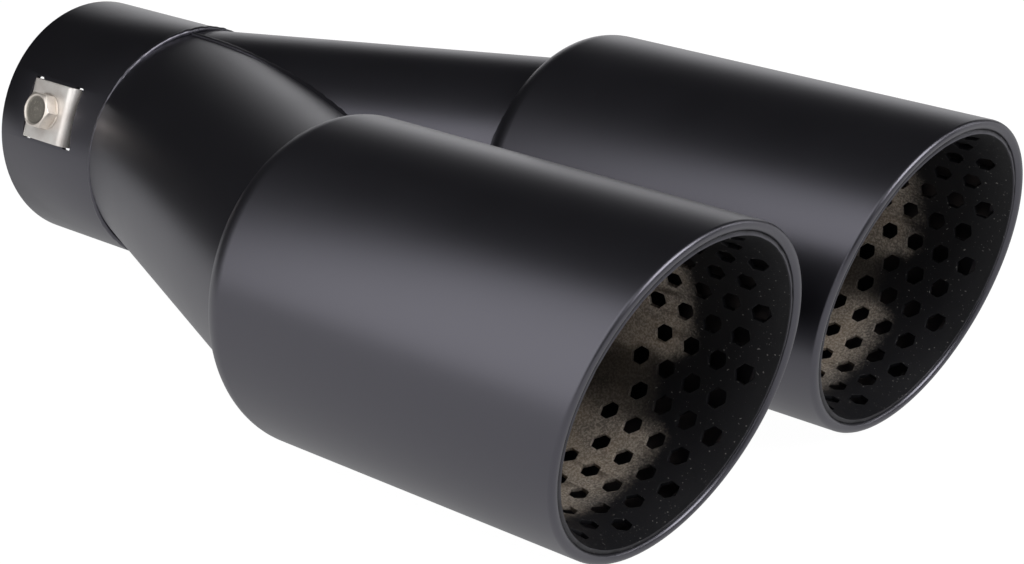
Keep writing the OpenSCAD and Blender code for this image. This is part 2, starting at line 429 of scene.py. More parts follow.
# %% Outlet shell
LIP_BULGE = 0.03
HEM_LENGTH = 6.0
ROLL_BACK = 1.0
REAR_HOLE_R = 30
FRONT_ZONE = 20


def lean(x, y, z):
    """Slants the front zone of an outlet."""
    return (x + SLOPE * z if x > RIM_X - FRONT_ZONE else x, y, z)


flat_r = CAN_R - SHOULDER
lip_x = RIM_X - LIP_R
hem_back = lip_x - HEM_LENGTH
hem_r = MOUTH_R - FLARE * HEM_LENGTH
can = turned("can_shell", [
    (REAR_X, REAR_HOLE_R),
    *arc(REAR_X + SHOULDER, flat_r, SHOULDER, 180, 90, 14),
    *arc(lip_x, CAN_R - LIP_R, LIP_R + LIP_BULGE, 90, -90, 14),
    (hem_back, hem_r),
    (hem_back, hem_r + LIP_R / 2),
    (lip_x - ROLL_BACK, MOUTH_R + LIP_R / 2),
    (lip_x - ROLL_BACK, CAN_R - CAN_WALL),
    *arc(REAR_X + SHOULDER, flat_r, SHOULDER - CAN_WALL, 90, 180, 10),
    (REAR_X + CAN_WALL, REAR_HOLE_R),
], points=160)
slide(can, lean)
print("outlet shell faces:", len(can.data.polygons))

# %% [markdown]
# The branch enters the rear wall at a slant. So each copy of the shell is bored with a drill that runs
# along its branch and stops inside the outlet, short of the side wall.

# %% Outlets with their rear bores
BORE_GAP = 0.2
DRILL_START = 20


def fit_can(name, side):
    """Copies the shell to one side, and bores its rear wall for the slanting branch pipe."""
    o = at_side(copy_of(can, name), side)
    drill = draft_pipe(PIPE_R + BORE_GAP)
    slide(drill, lambda x, y, z: (DRILL_START if x < 0 else branch_end(side, y), y, z))
    return smooth(cut(o, to_branch(drill, side)), 32)


cans = {side: fit_can(name, side) for side, name in ((LEFT, "outlet_left"), (RIGHT, "outlet_right"))}
remove(can)
print("faces of each outlet:", len(cans[LEFT].data.polygons))

# %% [markdown]
# ## The punched liners
# The real liner starts as flat sheet with staggered hexagonal holes, and is rolled into a cone. It is
# modelled the same way. One six-sided cell of sheet is drawn with a hole in it, and a second one without.
# The cells are repeated in two staggered columns and then all round, and the flat sheet is rolled up.

# %% One cell of the sheet
COLUMNS = 28
HOLE_AF = 4.8
HOLE_PITCH = 8.4
COLUMN_LEAN = 0.28
REF_R = 37.5
COLUMN_STEP = 2 * math.pi * REF_R / COLUMNS
SHEAR = REF_R * math.radians(COLUMN_LEAN)
LEAN = math.atan(SHEAR)
TWELFTH = math.radians(30)


def hole_point(step):
    """A corner or the middle of a side of the hexagonal hole, turned with its column."""
    reach = HOLE_AF / 2 / (1 if step % 2 else math.cos(TWELFTH))
    across = reach * math.sin(TWELFTH * step + LEAN)
    deep = reach * math.cos(TWELFTH * step + LEAN)
    return Vector((across - SHEAR * deep, deep, 0))


narrow = COLUMN_STEP / 2 - HOLE_PITCH ** 2 / (8 * COLUMN_STEP)
wide = COLUMN_STEP - narrow
half = HOLE_PITCH / 2
CELL = [(0, half), (narrow, half), (COLUMN_STEP / 2, half / 2), (wide, 0), (COLUMN_STEP / 2, -half / 2),
        (narrow, -half), (0, -half)]
CELL += [(-a, d) for a, d in reversed(CELL[1:6])]
WAY_OUT = {1: 0.0, 2: 0.12, 3: 1.0}


def to_cell(x, y, z):
    """Moves a point of three plain rings to the hole's edge, a band round it, or the cell's edge."""
    step = round(math.atan2(x, y) / TWELFTH) % 12
    share = WAY_OUT[round(math.hypot(x, y))]
    return hole_point(step).lerp(Vector((*CELL[step], 0)), share)


def sheet_cell(name, fill):
    """One cell of sheet round a twelve-pointed hole, with the hole left open or filled."""
    clear()
    bpy.ops.mesh.primitive_circle_add(vertices=12, radius=MM, fill_type=fill)
    o = bpy.context.object
    bpy.ops.object.mode_set(mode="EDIT")
    bpy.ops.mesh.select_mode(type="EDGE")
    bpy.ops.mesh.select_all(action="SELECT")
    if fill != "NOTHING":
        bpy.ops.mesh.region_to_loop()
    for grow in (2, 1.5):
        bpy.ops.mesh.extrude_edges_move()
        bpy.ops.transform.resize(value=(grow, grow, 1), center_override=(0, 0, 0))
    clear()
    return named(o, name)


punched = slide(sheet_cell("punched", "NOTHING"), to_cell)
print("one cell:", len(punched.data.vertices), "points,", len(punched.data.polygons), "faces")

# %% [markdown]
# Cells are now stacked into runs, down two neighbouring columns: plain cells in front of and behind the
# holes, punched cells between them. An array repeats the pair of columns all the way round, and the sheet
# is trimmed straight at both ends. Points that lie on each other are merged, so the sheet is one surface.
# A few straight cuts near the front give it the points it needs to curl smoothly into the lip.

# %% The whole sheet
ROWS = 4
FIRST_ROW = 8.2
ROWS_IN_FRONT = 2
ROWS_BEHIND = 9
REAR_DEPTH = RIM_X - PIPE_END_X
WELD_GAP = 1e-5
LIP_CUTS = (1.2, 1.5, 1.9, 2.4, 3.0, 3.8, 4.7)


def repeat(o, count, step_x, step_y):
    """Repeats a piece of flat sheet at equal steps, in millimetres."""
    return apply_modifier(o, "ARRAY", count=count, use_relative_offset=False, use_constant_offset=True,
                          constant_offset_displace=(step_x * MM, step_y * MM, 0),
                          use_merge_vertices=True, merge_threshold=WELD_GAP)


def run_of(piece, column, first, count):
    """A run of cells down one column of the sheet."""
    o = repeat(copy_of(piece, "run"), count, 0, HOLE_PITCH)
    o.location = (column * COLUMN_STEP * MM, (first + column / 2) * HOLE_PITCH * MM, 0)
    return settle(o)


def weld_edges(o):
    """Merges points that lie on each other, and leaves all of them selected in edit mode."""
    edit_all(o)
    bpy.ops.mesh.remove_doubles(threshold=WELD_GAP)


def slice_at(depth, **settings):
    """Cuts the sheet straight across at a depth behind the rim."""
    bpy.ops.mesh.select_all(action="SELECT")
    bpy.ops.mesh.bisect(plane_co=(0, (depth - FIRST_ROW) * MM, 0), plane_no=(0, 1, 0), **settings)


plain = slide(sheet_cell("plain", "NGON"), to_cell)
runs = []
for column in (0, 1):
    runs.append(run_of(plain, column, -ROWS_IN_FRONT, ROWS_IN_FRONT))
    runs.append(run_of(punched, column, 0, ROWS))
    runs.append(run_of(plain, column, ROWS, ROWS_BEHIND))
take(*runs)
bpy.ops.object.join()
sheet = named(bpy.context.object, "liner_sheet")
weld_edges(sheet)
clear()
repeat(sheet, COLUMNS // 2, 2 * COLUMN_STEP, 0)
weld_edges(sheet)
slice_at(LINER_SETBACK, clear_inner=True)
slice_at(REAR_DEPTH, clear_outer=True)
for depth in LIP_CUTS:
    slice_at(depth)
remove(plain, punched)
print("flat sheet faces:", len(sheet.data.polygons))

# %% [markdown]
# Rolling up is a slide as well: the distance along the sheet becomes an angle, and the depth sets the
# radius of the cone. At the mouth it curls outwards towards the rolled lip. Behind the cone it runs on as
# a straight duct, and a flange stands at its end. The wall is made last, so that the holes get walls too,
# and a fine bevel lets their edges catch light. The faces of the rolled sheet point to its axis, so the
# wall grows inwards from the surface drawn here. Behind its mouth the liner lies one wall thickness
# inside its solid, its front edge shows as a second thin ring in the mouth, and the flange, drawn where
# the solid has it, does not touch the duct.

# %% Rolling the liner
PATTERN_TURN = -93.5
LIP_FLOW = 12.0
LIP_CURVE = 1.6
LIP_MEETS = 0.13
FLANGE_GAP = 0.1


def roll_up(x, y, z):
    """Rolls the flat sheet into the liner, with its slanted mouth."""
    depth = y + FIRST_ROW
    angle = math.radians(PATTERN_TURN + COLUMN_LEAN * depth) + x / REF_R
    radius = max(THROAT_R, MOUTH_R - LINER_WALL - FLARE * depth)
    curl = max(0, (LIP_FLOW - depth) / (LIP_FLOW - LINER_SETBACK)) ** LIP_CURVE
    radius += (LINER_WALL + LIP_MEETS) * curl
    slant = SLOPE * min(1, (REAR_DEPTH - depth) / (REAR_DEPTH - FLARE_DEPTH))
    height = radius * math.sin(angle)
    return (RIM_X - depth + slant * height, radius * math.cos(angle), height)


slide(sheet, roll_up)
weld_edges(sheet)
bpy.ops.mesh.normals_make_consistent(inside=False)
clear()
outwards = sum(p.normal.y * p.center.y + p.normal.z * p.center.z for p in sheet.data.polygons)
print("liner faces outwards before it gets its wall:", outwards > 0)
apply_modifier(sheet, "SOLIDIFY", thickness=LINER_WALL * MM, offset=1)
soften(sheet, 0.22, 2, 50)
flange_r = flat_r + math.sqrt((SHOULDER - CAN_WALL) ** 2 - (SHOULDER - PIPE_REACH) ** 2) - FLANGE_GAP
flange_front = PIPE_END_X + LINER_WALL
duct_r = THROAT_R + LINER_WALL
flange = turned("liner_flange", [
    (flange_front, duct_r), (flange_front, flange_r), (PIPE_END_X, flange_r), (PIPE_END_X, duct_r),
], points=112)
take(flange, sheet)
bpy.ops.object.join()
smooth(sheet, 35)
liners = {side: at_side(copy_of(sheet, name), side)
          for side, name in ((LEFT, "liner_left"), (RIGHT, "liner_right"))}
remove(sheet)
print("liner faces:", len(liners[LEFT].data.polygons))

# %% [markdown]
# ## The weld beads
# A thin bead runs along every welded joint, painted over with the rest. On the real part it is what draws
# the fine light line between two dark pipes. Each bead is a ring round its pipe with a slightly uneven
# thickness, and every slice of the ring is slid along the pipe to where the joint is.

# %% A bead round a pipe
COLLAR_BEAD = 0.85
BRANCH_BEAD = 0.8
SEAM_COVER = 0.25
WAVES = ((0.07, 71, 0.0), (0.06, 43, 1.3), (0.08, 9, 0.4))


def ripple(angle):
    """The uneven thickness of a weld that was run by hand: waves of a height, a number and a shift."""
    return 1 + sum(height * math.sin(number * angle + shift) for height, number, shift in WAVES)


def bead(name, radius, size, shift):
    """A weld bead round the X axis, whose slices are slid along X by a function of their place."""
    clear()
    bpy.ops.mesh.primitive_torus_add(major_segments=288, minor_segments=12, major_radius=radius * MM,
                                     minor_radius=size * MM, rotation=(0, math.pi / 2, 0))
    o = settle(bpy.context.object)

    def place(x, y, z):
        angle = math.atan2(z, y)
        out = radius + (math.hypot(y, z) - radius) * ripple(angle)
        along = shift(radius * math.cos(angle), radius * math.sin(angle))
        return (x * ripple(angle) + along, out * math.cos(angle), out * math.sin(angle))

    slide(o, place)
    return smooth(named(o, name), 60)


collar_weld = bead("weld_collar", COLLAR_R - 0.35, COLLAR_BEAD, lambda y, z: seam_x(y, z) + SEAM_COVER)
print("collar bead faces:", len(collar_weld.data.polygons))

# %% [markdown]
# Where a branch enters an outlet, the joint runs over the rounded shoulder. There is no simple formula
# for it, so each line of the pipe's wall is followed step by step until it meets the shoulder.

# %% Beads at the outlets
def shoulder_x(distance):
    """The place along X of the outlet's rear, at a distance from the outlet's axis."""
    return REAR_X + SHOULDER - math.sqrt(SHOULDER ** 2 - max(0, distance - flat_r) ** 2)


def outlet_weld(name, side):
    """The bead between a branch and its outlet."""
    turn = side * BRANCH_ANGLE

    def joint(y, z):
        along = REAR_X - COLLAR_LENGTH
        for _ in range(12):
            world_y = along * math.sin(turn) + y * math.cos(turn)
            target = shoulder_x(math.hypot(world_y - side * HALF_SPACING, z))
            along = (target - COLLAR_LENGTH + y * math.sin(turn)) / math.cos(turn)
        return along

    return to_branch(bead(name, PIPE_R + 0.15, BRANCH_BEAD, joint), side)


outlet_welds = {side: outlet_weld(name, side)
                for side, name in ((LEFT, "weld_outlet_left"), (RIGHT, "weld_outlet_right"))}
print("outlet bead faces:", len(outlet_welds[LEFT].data.polygons))

# %% [markdown]
# The mitre between the two branches is half of an ellipse that stands upright in the middle. The ring is
# laid in that plane, stretched to the ellipse, and cut off behind the collar's seam. Towards the crotch,
# where the branches part, the bead is laid on wider than in the solid.

# %% Bead along the mitre
RIPPLE_RATE = 2.2
CROTCH_START = 0.35
CROTCH_END = 0.75
CROTCH_WIDENS = 1.9


def to_mitre(x, y, z):
    """Stretches a ring round the Y axis to the ellipse where the branches meet."""
    angle = math.atan2(z, x)
    flat = math.sin(BRANCH_ANGLE)
    outwards = Vector((math.cos(angle) * flat, math.sin(angle))).normalized()
    uneven = ripple(RIPPLE_RATE * angle)
    out = (math.hypot(x, z) - PIPE_R) * uneven
    near_crotch = min(1, max(0, (math.cos(angle) - CROTCH_START) / (CROTCH_END - CROTCH_START)))
    return (COLLAR_LENGTH + PIPE_R * math.cos(angle) / flat + out * outwards.x,
            y * uneven * (1 + CROTCH_WIDENS * near_crotch),
            PIPE_R * math.sin(angle) + out * outwards.y)


clear()
bpy.ops.mesh.primitive_torus_add(major_segments=480, minor_segments=12, major_radius=PIPE_R * MM,
                                 minor_radius=BRANCH_BEAD * MM, rotation=(math.pi / 2, 0, 0))
mitre_weld = named(slide(settle(bpy.context.object), to_mitre), "weld_mitre")
edit_all(mitre_weld)
bpy.ops.mesh.bisect(plane_co=(SEAM_X * MM, 0, 0), plane_no=(1, 0, -SEAM_TILT), clear_inner=True,
                    use_fill=True)
smooth(mitre_weld, 60)
print("mitre bead faces:", len(mitre_weld.data.polygons))

# %% [markdown]
# ## The clamp
# A small stainless plate bridges the two slots. Its sides are folded down through them and turned under
# the collar's wall as feet. The bolt pulls the plate and its nut together. The plate is one strip of
# sheet: an edge is drawn out along the folded path, the sheet gets its thickness inwards, and the bolt
# hole is cut. The legs stand a little further in than the solid's, so a dark gap shows outside each fold.

# %% Clamp plate
BRIDGE_WALL = 1.5
BRIDGE_WIDTH = 17.8
LEG_X = 9.2
FOLD_R = 1.9
FOOT = 1.2
FOOT_Z = 33.97
BOLT_HOLE_R = 3.3
HEAD_Z = COLLAR_R + BRIDGE_WALL


def folded_strip(name, path, width, wall):
    """A strip of sheet folded along a path of x and z, whose outside lies on the path."""
    x, z = path[0]
    clear()
    bpy.ops.mesh.primitive_plane_add(size=width * MM, location=((x + width / 2) * MM, 0, z * MM))
    o = settle(bpy.context.object)
    pick(o, lambda point_x, point_y, point_z: point_x > x + 1)
    bpy.ops.mesh.delete(type="VERT")
    bpy.ops.mesh.select_all(action="SELECT")
    for next_x, next_z in path[1:]:
        step = ((next_x - x) * MM, 0, (next_z - z) * MM)
        bpy.ops.mesh.extrude_region_move(TRANSFORM_OT_translate={"value": step})
        x, z = next_x, next_z
    bpy.ops.mesh.select_all(action="SELECT")
    bpy.ops.mesh.normals_make_consistent(inside=False)
    clear()
    facing_up = sum(p.normal.z * p.area for p in o.data.polygons if p.center.z > (HEAD_Z - 0.1) * MM) > 0
    return apply_modifier(named(o, name), "SOLIDIFY", thickness=wall * MM, offset=-1 if facing_up else 1)


fold_x = LEG_X - FOLD_R
half_path = [
    (fold_x - FOOT, FOOT_Z - BRIDGE_WALL),
    *arc(fold_x, FOOT_Z - BRIDGE_WALL + FOLD_R, FOLD_R, -90, 0, 8),
    *arc(fold_x, HEAD_Z - FOLD_R, FOLD_R, 0, 90, 10),
]
path = half_path + [(-x, z) for x, z in reversed(half_path)]
plate = folded_strip("clamp_plate", path, BRIDGE_WIDTH, BRIDGE_WALL)
cut(plate, rod(BOLT_HOLE_R, HEAD_Z))
soften(plate, 0.22, 3, 40)
smooth(to_clamp(plate), 35)
print("clamp plate faces:", len(plate.data.polygons))

# %% [markdown]
# A bolt head is a hexagonal bar that was turned in a lathe: the lathe leaves the round chamfer, the
# raised rim and the dish on top. So the head is the part that a hexagonal bar and a turned blank have in
# common. The thread below is a plain stack of rings whose radius is slid in and out along a spiral.

# %% Bolt and nut
HEX_AF = 10.0
TOP = HEAD_Z + 4.4
LOW_END = HEAD_Z - 12
THREAD_R = 3.0
THREAD_DEPTH = 0.55
PITCH = 1.0
POINT = 0.4


def hexagon(low, high):
    """A hexagonal bar on the Z axis, in millimetres, with its flats across Y."""
    clear()
    bpy.ops.mesh.primitive_cylinder_add(vertices=6, radius=HEX_AF / 2 / math.cos(math.radians(30)) * MM,
                                        depth=(high - low) * MM, location=(0, 0, (low + high) / 2 * MM),
                                        rotation=(0, 0, math.radians(30)))
    return settle(bpy.context.object)


def upright(o):
    """Stands a piece that was turned on the X axis up on the Z axis."""
    o.rotation_euler = (0, -math.pi / 2, 0)
    return settle(o)


def threaded(x, y, z):
    """Cuts a spiral thread into a shank that is modelled on the X axis."""
    out = math.hypot(y, z)
    if out < THREAD_R - 0.1 or x > HEAD_Z - 3 or x < LOW_END + POINT:
        return (x, y, z)
    phase = (x / PITCH - math.atan2(z, y) / (2 * math.pi)) % 1
    keep = 1 - THREAD_DEPTH * max(0, 1 - 2.4 * abs(phase - 0.5)) / THREAD_R
    return (x, y * keep, z * keep)


head = upright(turned_solid("bolt", [
    (HEAD_Z + 0.2, 6.4), (TOP - 0.98, 6.4),
    (TOP - 0.1, 4.88), (TOP - 0.02, 4.74), (TOP, 4.62), (TOP - 0.04, 4.5),
    (TOP - 0.36, 4.2), (TOP - 0.5, 3.9), (TOP - 0.52, 3.4),
    (TOP - 0.46, 2.2), (TOP - 0.42, 1.0), (TOP - 0.41, 0.3),
], points=72))
bolt = cut(head, hexagon(HEAD_Z + 0.1, TOP + 1), "INTERSECT")
soften(bolt, 0.09, 2, 40)
washer_face = upright(turned_solid("washer_face", [
    (HEAD_Z, 5.5), (HEAD_Z + 0.1, 5.64), (HEAD_Z + 0.32, 5.64), (HEAD_Z + 0.42, 5.5),
], points=72))
threads = [(LOW_END + POINT + i / 8, THREAD_R) for i in range(int((HEAD_Z - LOW_END - 1) * 8))]
shank = turned_solid("shank", [(LOW_END, THREAD_R - POINT), *threads, (HEAD_Z + 0.2, THREAD_R)], points=40)
upright(slide(shank, threaded))
take(shank, washer_face, bolt)
bpy.ops.object.join()
smooth(to_clamp(bolt), 32)

nut = upright(turned_solid("nut", [
    (COLLAR_R - 5, 4.9), (COLLAR_R - 4.2, 6.3), (COLLAR_R - 0.8, 6.3), (COLLAR_R, 4.9),
], points=72))
nut = cut(nut, hexagon(COLLAR_R - 6, COLLAR_R + 1), "INTERSECT")
cut(nut, rod(THREAD_R + 0.05, COLLAR_R, 40))
soften(nut, 0.12, 2, 40)
smooth(to_clamp(nut), 32)
print("bolt faces:", len(bolt.data.polygons), "nut faces:", len(nut.data.polygons))

# %% [markdown]
# ## Each piece and its solid
# Every piece stands for one solid of the frame, which is hidden, and is listed with the name of its
# finish's slot. All pieces ride on the one body, because nothing on this object moves.

# %% Pieces on the frame
PAINTED = "black_paint"
pieces = [
    (collar, "inlet_collar", PAINTED),
    (branches[LEFT], "left_branch_pipe", PAINTED),
    (branches[RIGHT], "right_branch_pipe", PAINTED),
    (cans[LEFT], "left_can", PAINTED),
    (cans[RIGHT], "right_can", PAINTED),
    (collar_weld, "collar_weld", PAINTED),
    (mitre_weld, "mitre_weld", PAINTED),
    (outlet_welds[LEFT], "left_can_weld", PAINTED),
    (outlet_welds[RIGHT], "right_can_weld", PAINTED),
    (liners[LEFT], "left_liner", "liner_steel"),
    (liners[RIGHT], "right_liner", "liner_steel"),
    (plate, "clamp_bridge", "clamp_steel"),
    (bolt, "clamp_bolt", "bolt_steel"),
    (nut, "clamp_nut", "bolt_steel"),
]
for piece, solid, slot_name in pieces:
    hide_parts(solid)
    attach(piece, "root")
print("pieces:", len(pieces), "faces:", sum(len(p.data.polygons) for p, _, _ in pieces))

# %% [markdown]
# ## Writing materials as sums
# A material is a graph of nodes, but most of it is arithmetic. The class below wraps the output of a
# node, so that a mask can be written as 1 - depth * 40, and each operator adds the Math node it stands
# for. Every other node comes from one method, which takes its type, its settings and what goes into its
# sockets.

# %% Socket arithmetic
class Value:
    """The output of a node, on which the arithmetic operators add Math nodes."""

    def __init__(self, finish, socket):
        self.finish = finish
        self.socket = socket

    def math(self, operation, *inputs):
        return self.finish.node("Math", {"operation": operation}, dict(enumerate(inputs)))

    def __add__(self, other):
        return self.math("ADD", self, other)

    def __radd__(self, other):
        return self.math("ADD", other, self)

    def __sub__(self, other):
        return self.math("SUBTRACT", self, other)

    def __rsub__(self, other):
        return self.math("SUBTRACT", other, self)

    def __mul__(self, other):
        return self.math("MULTIPLY", self, other)

    def __rmul__(self, other):
        return self.math("MULTIPLY", other, self)

    def __truediv__(self, other):
        return self.math("DIVIDE", self, other)

    def __pow__(self, other):
        return self.math("POWER", self, other)

    def clamped(self):
        """This value kept between 0 and 1."""
        return self.math("MINIMUM", self.math("MAXIMUM", self, 0), 1)

    def between(self, low, high):
        """A soft step that is 0 at low and 1 at high."""
        return self.finish.node("MapRange", {"interpolation_type": "SMOOTHSTEP"},
                                {"Value": self, "From Min": low, "From Max": high})


class Finish:
    """The nodes of a material or of the world, added one call at a time."""

    def __init__(self, owner):
        self.owner = owner
        owner.use_nodes = True
        self.tree = owner.node_tree
        self.tree.nodes.clear()
        self.place = self.node("TexCoord", output="Object")

    def node(self, kind, settings=None, inputs=None, output=0):
        """Adds a node, makes its settings, fills its sockets, and gives one output back."""
        n = self.tree.nodes.new("ShaderNode" + kind)
        for key, value in (settings or {}).items():
            setattr(n, key, value)
        for key, value in (inputs or {}).items():
            if isinstance(value, Value):
                self.tree.links.new(value.socket, n.inputs[key])
            else:
                n.inputs[key].default_value = value
        return Value(self, n.outputs[output])

    def noise(self, scale, detail=3.0, where=None, stretch=(1, 1, 1)):
        """Noise with a scale in cells per metre, stretched along an axis if asked."""
        where = self.node("VectorMath", {"operation": "MULTIPLY"}, {0: where or self.place, 1: stretch})
        return self.node("TexNoise", None,
                         {"Vector": where, "Scale": scale, "Detail": detail, "Roughness": 0.6})

    def blend(self, share, first, second):
        """A colour between two colours."""
        return self.node("Mix", {"data_type": "RGBA"}, {0: share, 6: first, 7: second}, output=2)

    def axes(self, where=None):
        """The three coordinates of a place, as values."""
        split = self.node("SeparateXYZ", None, {0: where or self.place}).socket.node
        return [Value(self, split.outputs[i]) for i in range(3)]

    def surface(self, bump=None, strength=0.2, distance=0.0001, **inputs):
        """A painted or metal surface. Sockets are named with underscores for spaces."""
        sockets = {key.replace("_", " "): value for key, value in inputs.items()}
        if bump is not None:
            sockets["Normal"] = self.node("Bump", None,
                                          {"Height": bump, "Strength": strength, "Distance": distance})
        return self.node("BsdfPrincipled", None, sockets)

    def finished(self, surface, kind="Material"):
        """Ends the nodes with this surface, and gives the material or the world back."""
        output = self.tree.nodes.new("ShaderNodeOutput" + kind)
        self.tree.links.new(surface.socket, output.inputs["Surface"])
        return self.owner


def new_finish(name):
    """An empty material to add nodes to."""
    return Finish(bpy.data.materials.new(name))


def dress(material, *objects):
    """Gives objects one material."""
    for o in objects:
        o.data.materials.clear()
        o.data.materials.append(material)


# %% [markdown]
# ## Satin black paint
# The tip is sprayed with heat-proof satin black. In the photograph it is very dark, faintly violet where
# light strikes it, and it blurs the studio into broad soft bands. So the colour matters little and the
# roughness a lot. Fine grain and a slow change of roughness keep the bands from looking like plastic.

# %% Black paint
PAINT_IOR = 2.1
PAINT_TINT = (0.88, 0.86, 1.0, 1)
DARKEST = (0.0012, 0.0012, 0.0016, 1)
LEAST_DARK = (0.0028, 0.0028, 0.0036, 1)

paint = new_finish("satin_black_paint")
mottle = paint.noise(38, 4)
grain = paint.noise(2600, 2)
patch = paint.noise(9, 2)
paint_colour = paint.blend(mottle, DARKEST, LEAST_DARK)
black_paint = paint.finished(paint.surface(
    bump=grain + 0.5 * paint.noise(900, 1), strength=0.12, distance=0.00004,
    Base_Color=paint_colour, Roughness=0.31 + 0.05 * mottle + 0.03 * patch, Metallic=0.0, IOR=PAINT_IOR,
    Specular_Tint=PAINT_TINT))
painted_pieces = [piece for piece, _, slot_name in pieces if slot_name == PAINTED]
dress(black_paint, *painted_pieces)
print("painted pieces:", len(painted_pieces))

# %% [markdown]
# ## The liners
# Paint was sprayed into the mouths but never reached far, so each liner is black at its edge and turns
# into bare steel behind its second row of holes. The bare metal is dull and grainy, with brown heat tint
# and a few dark streaks. One dark band below the middle is painted shade, for the shade and dark
# reflections deep in each mouth, and it also pushes the spray's edge deeper. The depth behind the slanted
# rim is worked out from the place of each point, and two kinds of noise make the spray's edge ragged.

# %% Liner steel
WARM_STEEL = (0.36, 0.295, 0.235, 1)
COOL_STEEL = (0.25, 0.22, 0.195, 1)
BRIGHT_GRAIN = (0.72, 0.64, 0.55, 1)
# The colour of the painted shade band deep in each mouth.
SHADE_BAND_COLOUR = (0.035, 0.03, 0.026, 1)
BROWN_STREAK = (0.09, 0.07, 0.055, 1)
SPRAYED_BLACK = (0.005, 0.005, 0.0065, 1)
PALE_DUST = (0.25, 0.24, 0.23, 1)
SHADE_BAND_HEIGHT = -17
SHADE_BAND_HALF = 7

liner_finish = new_finish("sprayed_liner_steel")
x, y, z = liner_finish.axes()
height = z / MM
depth = RIM_X + SLOPE * height - x / MM
wander = liner_finish.noise(55, 3)
spatter = liner_finish.noise(1500, 2)
# Painted shade: a soft dark band round a height below the middle, where the steel lies in shade and
# reflects dark.
level = (height - SHADE_BAND_HEIGHT) / SHADE_BAND_HALF + 1.4 * (wander - 0.5)
painted_shade = 1 - (level * level).between(0.1, 1.8)
# The painted shade band also pushes the spray's edge deeper.
ragged = 9 * (wander - 0.5) + 7 * (spatter - 0.5) - 7 * painted_shade
bare = (depth - 0.2 * height + ragged).between(23, 36)
coarse = liner_finish.noise(420, 4)
fine = liner_finish.noise(1700, 2)
cloud = liner_finish.noise(70, 3)
streak = liner_finish.noise(240, 4, stretch=(0.16, 1, 1)).between(0.56, 0.72)
steel_colour = liner_finish.blend(cloud.between(0.35, 0.65), WARM_STEEL, COOL_STEEL)
steel_colour = liner_finish.blend(fine.between(0.38, 0.66) * 0.7, steel_colour, BRIGHT_GRAIN)
# Painted shade darkens the steel in that band.
steel_colour = liner_finish.blend(0.85 * painted_shade, steel_colour, SHADE_BAND_COLOUR)
steel_colour = liner_finish.blend(0.75 * streak, steel_colour, BROWN_STREAK)
dust = liner_finish.noise(1900, 0).between(0.78, 0.83)
sprayed = liner_finish.blend(dust * 0.5, SPRAYED_BLACK, PALE_DUST)
deep = liner_finish.surface(
    bump=coarse * 0.6 + fine, strength=0.35, distance=0.00006,
    Base_Color=liner_finish.blend(bare, sprayed, steel_colour), Metallic=0.6 * bare,
    Roughness=0.42 + 0.16 * fine + 0.04 * bare, IOR=1.36)
edge = liner_finish.surface(
    Base_Color=(0.002, 0.002, 0.0026, 1), Roughness=0.42, IOR=PAINT_IOR, Specular_Tint=PAINT_TINT)
inwards = depth.between(0.4, 1.15)
liner_steel = liner_finish.finished(liner_finish.node("MixShader", None, {0: inwards, 1: edge, 2: deep}))
dress(liner_steel, *liners.values())

# %% [markdown]
# ## The clamp's steel
# The plate and the bolt are bare stainless. The plate was tumbled and rolled, so it is bright and softly
# streaked along its folds. The bolt is forged: its dish is darker and rougher than the turned rim and the
# flats. Patterns are laid out in the clamp's own directions, by a Mapping node that undoes its turn.

# %% Clamp steel
def clamp_place(finish):
    """The place of a point in the clamp's own directions, with the bolt along Z."""
    return finish.node("Mapping", {"vector_type": "TEXTURE"}, {
        "Vector": finish.place, "Location": (CLAMP_X * MM, 0, 0), "Rotation": (CLAMP_ANGLE, 0, 0)})


plate_finish = new_finish("brushed_clamp_steel")
where = clamp_place(plate_finish)
lines = plate_finish.noise(2600, 3, where, (1, 0.05, 1))
smudge = plate_finish.noise(190, 3, where)
plate_colour = plate_finish.blend(smudge.between(0.3, 0.7), (0.70, 0.655, 0.62, 1), (0.80, 0.775, 0.745, 1))
clamp_steel = plate_finish.finished(plate_finish.surface(
    bump=lines, strength=0.25, distance=0.00003,
    Base_Color=plate_colour, Metallic=0.72, Roughness=0.36 + 0.12 * lines + 0.06 * smudge))
dress(clamp_steel, plate)

bolt_finish = new_finish("forged_bolt_steel")
where = clamp_place(bolt_finish)
bolt_x, bolt_y, bolt_z = bolt_finish.axes(where)
radius = (bolt_x ** 2 + bolt_y ** 2) ** 0.5 / MM
dish = (1 - radius.between(4.0, 4.45)) * (bolt_z / MM).between(HEAD_Z + 3, HEAD_Z + 3.6)
turning = bolt_finish.noise(1200, 3, where)
bolt_colour = bolt_finish.blend(dish, (0.74, 0.68, 0.62, 1), (0.22, 0.205, 0.18, 1))
bolt_colour = bolt_finish.blend(turning.between(0.5, 0.75) * 0.4, bolt_colour, (0.5, 0.46, 0.41, 1))
bolt_steel = bolt_finish.finished(bolt_finish.surface(
    bump=turning + 0.4 * bolt_finish.noise(3800, 2, where), strength=0.3, distance=0.00008,
    Base_Color=bolt_colour, Metallic=0.8, Roughness=0.28 + 0.16 * dish + 0.08 * turning))
dress(bolt_steel, bolt, nut)
print("materials:", sorted(m.name for m in bpy.data.materials if m.users))

# %% [markdown]
# ## The studio
# The photograph has a plain white ground. The floor is pale and matt, and most of it is hidden under a
# glow that only the camera and reflections see, so that it looks white and keeps a faint soft shadow of
# the object. The broad highlights come from one wide soft light on the camera's left. In reflections the
# room above is nearly dark, which gives the dark band along the top of each outlet.

# %% Floor and backdrop
WHITE = (1, 1, 1, 1)
PALE = (0.9, 0.9, 0.9, 1)
FLOOR_Z = -(CAN_R + LIP_BULGE)
SEEN_GLOW = 1.06
REFLECTED_GLOW = 0.6
GLOW_SHARE = 0.93

